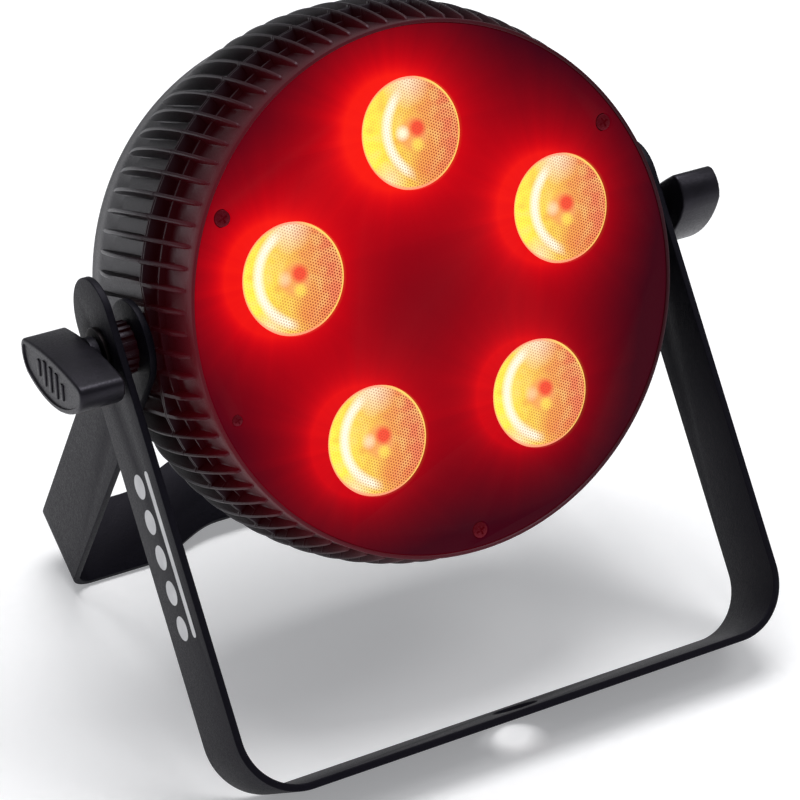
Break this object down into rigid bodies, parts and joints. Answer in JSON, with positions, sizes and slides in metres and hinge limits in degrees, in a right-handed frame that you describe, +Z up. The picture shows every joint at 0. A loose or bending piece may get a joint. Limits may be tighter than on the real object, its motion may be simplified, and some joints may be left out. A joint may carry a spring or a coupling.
{
  "type": "par can light",
  "caption": "Round flat LED par light with a ribbed housing, flush lenses and two U brackets that it stands on or hangs from, locked by side knobs.",
  "frame": {"origin": "bottom centre of the object's box, on the floor", "axes": "+X along the tilt axis, to the viewer's right when the viewer looks along +Y at the lit face; the lit face looks towards -Y and 20 degrees up; +Z up"},
  "size_m": [0.2506, 0.2006, 0.2301],
  "materials": {
    "powder_coat": "fine-texture black powder coat on steel",
    "housing_plastic": "satin black moulded plastic",
    "face_paint": "smooth black painted sheet, lit red by the lenses",
    "lens_plastic": "clear moulded lens, lit",
    "emitter": "LED emitter, lit",
    "circuit_board": "coated circuit board",
    "aluminium": "plain extruded aluminium",
    "plain_steel": "zinc plated steel",
    "black_steel": "black oxide steel",
    "brass": "turned brass",
    "rubber": "moulded rubber",
    "smoked_window": "smoked clear plastic",
    "connector_metal": "nickel plated die casting"
  },
  "bodies": {
    "front_bracket": {"front_bracket": "powder_coat", "left_spacer": "housing_plastic", "right_spacer": "housing_plastic"},
    "rear_bracket": {"rear_bracket": "powder_coat"},
    "head": {"front_shell": "housing_plastic", "rear_shell": "housing_plastic", "front_plate": "face_paint", "lens_1": "lens_plastic", "lens_2": "lens_plastic", "lens_3": "lens_plastic", "lens_4": "lens_plastic", "lens_5": "lens_plastic", "lens_cup_1": "housing_plastic", "lens_cup_2": "housing_plastic", "lens_cup_3": "housing_plastic", "lens_cup_4": "housing_plastic", "lens_cup_5": "housing_plastic", "led_emitter_1": "emitter", "led_emitter_2": "emitter", "led_emitter_3": "emitter", "led_emitter_4": "emitter", "led_emitter_5": "emitter", "led_board": "circuit_board", "heat_sink": "aluminium", "fan_frame": "housing_plastic", "power_supply_board": "circuit_board", "control_board": "circuit_board", "display_window": "smoked_window", "power_inlet": "housing_plastic", "power_outlet": "housing_plastic", "fuse_holder": "housing_plastic", "dmx_input": "connector_metal", "dmx_output": "connector_metal", "safety_loop": "plain_steel", "front_screw_1": "black_steel", "front_screw_2": "black_steel", "front_screw_3": "black_steel", "front_screw_4": "black_steel", "rear_screw_1": "plain_steel", "rear_screw_2": "plain_steel", "rear_screw_3": "plain_steel", "rear_screw_4": "plain_steel", "left_pivot_insert": "brass", "right_pivot_insert": "brass", "left_friction_disc": "rubber", "right_friction_disc": "rubber"},
    "fan": {"fan_rotor": "housing_plastic"},
    "left_washer": {"left_washer": "plain_steel"},
    "right_washer": {"right_washer": "plain_steel"},
    "left_knob": {"left_knob_handle": "housing_plastic", "left_knob_stud": "plain_steel"},
    "right_knob": {"right_knob_handle": "housing_plastic", "right_knob_stud": "plain_steel"},
    "menu_button_1": {"menu_button_1": "rubber"},
    "menu_button_2": {"menu_button_2": "rubber"},
    "menu_button_3": {"menu_button_3": "rubber"},
    "menu_button_4": {"menu_button_4": "rubber"},
    "dmx_latch": {"dmx_latch": "connector_metal"}
  },
  "joints": [
    {"name": "rear_bracket_swing", "type": "hinge", "parent": "front_bracket", "child": "rear_bracket", "pos_m": [0, 0.00274, 0.13397], "axis": [1, 0, 0], "range_deg": [-67.5, 60]},
    {"name": "head_tilt", "type": "hinge", "parent": "front_bracket", "child": "head", "pos_m": [0, 0.00274, 0.13397], "axis": [1, 0, 0], "range_deg": [-110, 90]},
    {"name": "left_washer_slide", "type": "slide", "parent": "front_bracket", "child": "left_washer", "axis": [-1, 0, 0], "range_m": [0, 0.0025]},
    {"name": "left_knob_turn", "type": "hinge", "parent": "left_washer", "child": "left_knob", "pos_m": [0, 0.00274, 0.13397], "axis": [-1, 0, 0], "range_deg": [0, 725]},
    {"name": "right_washer_slide", "type": "slide", "parent": "front_bracket", "child": "right_washer", "axis": [1, 0, 0], "range_m": [0, 0.0025]},
    {"name": "right_knob_turn", "type": "hinge", "parent": "right_washer", "child": "right_knob", "pos_m": [0, 0.00274, 0.13397], "axis": [1, 0, 0], "range_deg": [0, 725]},
    {"name": "fan_spin", "type": "hinge", "parent": "head", "child": "fan", "pos_m": [0, 0.00887, 0.13036], "axis": [0, -0.9397, 0.342], "continuous": true},
    {"name": "menu_button_1_press", "type": "slide", "parent": "head", "child": "menu_button_1", "axis": [0, -0.9397, 0.342], "range_m": [0, 0.001], "stiffness_N_per_m": 250, "springref_m": -0.003},
    {"name": "menu_button_2_press", "type": "slide", "parent": "head", "child": "menu_button_2", "axis": [0, -0.9397, 0.342], "range_m": [0, 0.001], "stiffness_N_per_m": 250, "springref_m": -0.003},
    {"name": "menu_button_3_press", "type": "slide", "parent": "head", "child": "menu_button_3", "axis": [0, -0.9397, 0.342], "range_m": [0, 0.001], "stiffness_N_per_m": 250, "springref_m": -0.003},
    {"name": "menu_button_4_press", "type": "slide", "parent": "head", "child": "menu_button_4", "axis": [0, -0.9397, 0.342], "range_m": [0, 0.001], "stiffness_N_per_m": 250, "springref_m": -0.003},
    {"name": "dmx_latch_press", "type": "slide", "parent": "head", "child": "dmx_latch", "axis": [0, -0.9397, 0.342], "range_m": [0, 0.0012], "stiffness_N_per_m": 400, "springref_m": -0.003}
  ],
  "couplings": [
    {"joint": "left_knob_turn", "follows": "left_washer_slide", "rad_per_m": 5026.5},
    {"joint": "right_knob_turn", "follows": "right_washer_slide", "rad_per_m": 5026.5}
  ]
}
